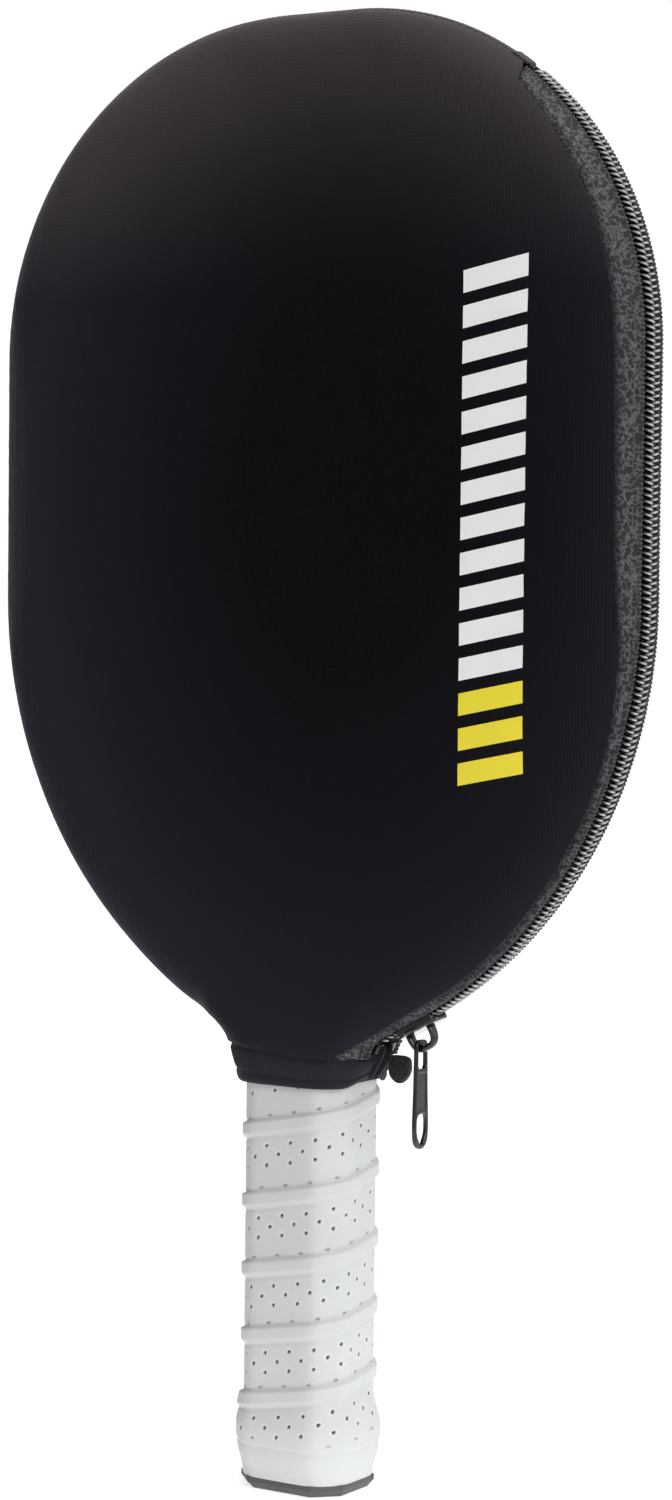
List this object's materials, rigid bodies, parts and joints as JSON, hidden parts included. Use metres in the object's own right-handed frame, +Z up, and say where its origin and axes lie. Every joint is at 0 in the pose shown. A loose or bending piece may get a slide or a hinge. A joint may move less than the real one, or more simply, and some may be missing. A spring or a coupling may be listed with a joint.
{
  "type": "paddle case",
  "caption": "Padded zip case closed around a racket-sport paddle, with an opening front flap, a slider with a hanging pull tab, and the wrapped handle standing out of its collar",
  "frame": {"origin": "centre of the butt cap's flat bottom face", "axes": "+Z up the handle to the top of the case, -Y out of the printed front, +X towards the zipper side"},
  "size_m": [0.2118, 0.0356, 0.4134],
  "materials": {
    "panel_jersey": "fine jersey laminated on foam",
    "edge_thread": "dense thread",
    "zip_tape": "woven twill tape",
    "zip_coil": "moulded coil",
    "zip_stop": "crimped",
    "slider_metal": "gloss black",
    "pull_metal": "gloss black",
    "pull_inlay": "satin",
    "collar_fabric": "fine rib",
    "print_yellow": "screen print",
    "print_white": "screen print",
    "paddle_core": "polymer honeycomb",
    "face_sheet": "fibre laminate",
    "handle_wood": "sanded",
    "edge_guard": "extruded",
    "grip_wrap": "perforated synthetic",
    "butt_cap": "moulded",
    "finishing_band": "matte band"
  },
  "bodies": {
    "root": {"front_panel": "panel_jersey", "back_panel": "panel_jersey", "edge_seam": "edge_thread", "back_zip_tape": "zip_tape", "back_coil": "zip_coil", "back_zip_stop": "zip_stop", "top_bartack": "edge_thread", "back_collar": "collar_fabric", "paddle_core": "paddle_core", "front_face_sheet": "face_sheet", "back_face_sheet": "face_sheet", "front_handle_pallet": "handle_wood", "back_handle_pallet": "handle_wood", "edge_guard": "edge_guard", "grip_wrap": "grip_wrap", "butt_cap": "butt_cap", "finishing_band": "finishing_band", "back_tape_tab": "collar_fabric"},
    "flap": {"front_flap": "panel_jersey", "front_zip_tape": "zip_tape", "front_coil": "zip_coil", "front_zip_stop": "zip_stop", "front_collar": "collar_fabric", "side_print": "print_white", "accent_print": "print_yellow"},
    "slider": {"slider": "slider_metal"},
    "pull": {"pull_frame": "pull_metal", "pull_inlay": "pull_inlay"}
  },
  "joints": [
    {"name": "flap_open", "type": "hinge", "parent": "root", "child": "flap", "pos_m": [-0.0265, -0.0145, 0.128], "axis": [-0.3291, 0, -0.9443], "range_deg": [0, 110]},
    {"name": "slider_travel", "type": "hinge", "parent": "root", "child": "slider", "pos_m": [-0.0274, 0, 0.2508], "axis": [0, -1, 0], "range_deg": [0, 60], "deforming": ["front_coil", "back_coil"]},
    {"name": "pull_swing", "type": "hinge", "parent": "slider", "child": "pull", "pos_m": [0.03603, 0, 0.1282], "axis": [0, -1, 0], "range_deg": [-20, 105]}
  ]
}
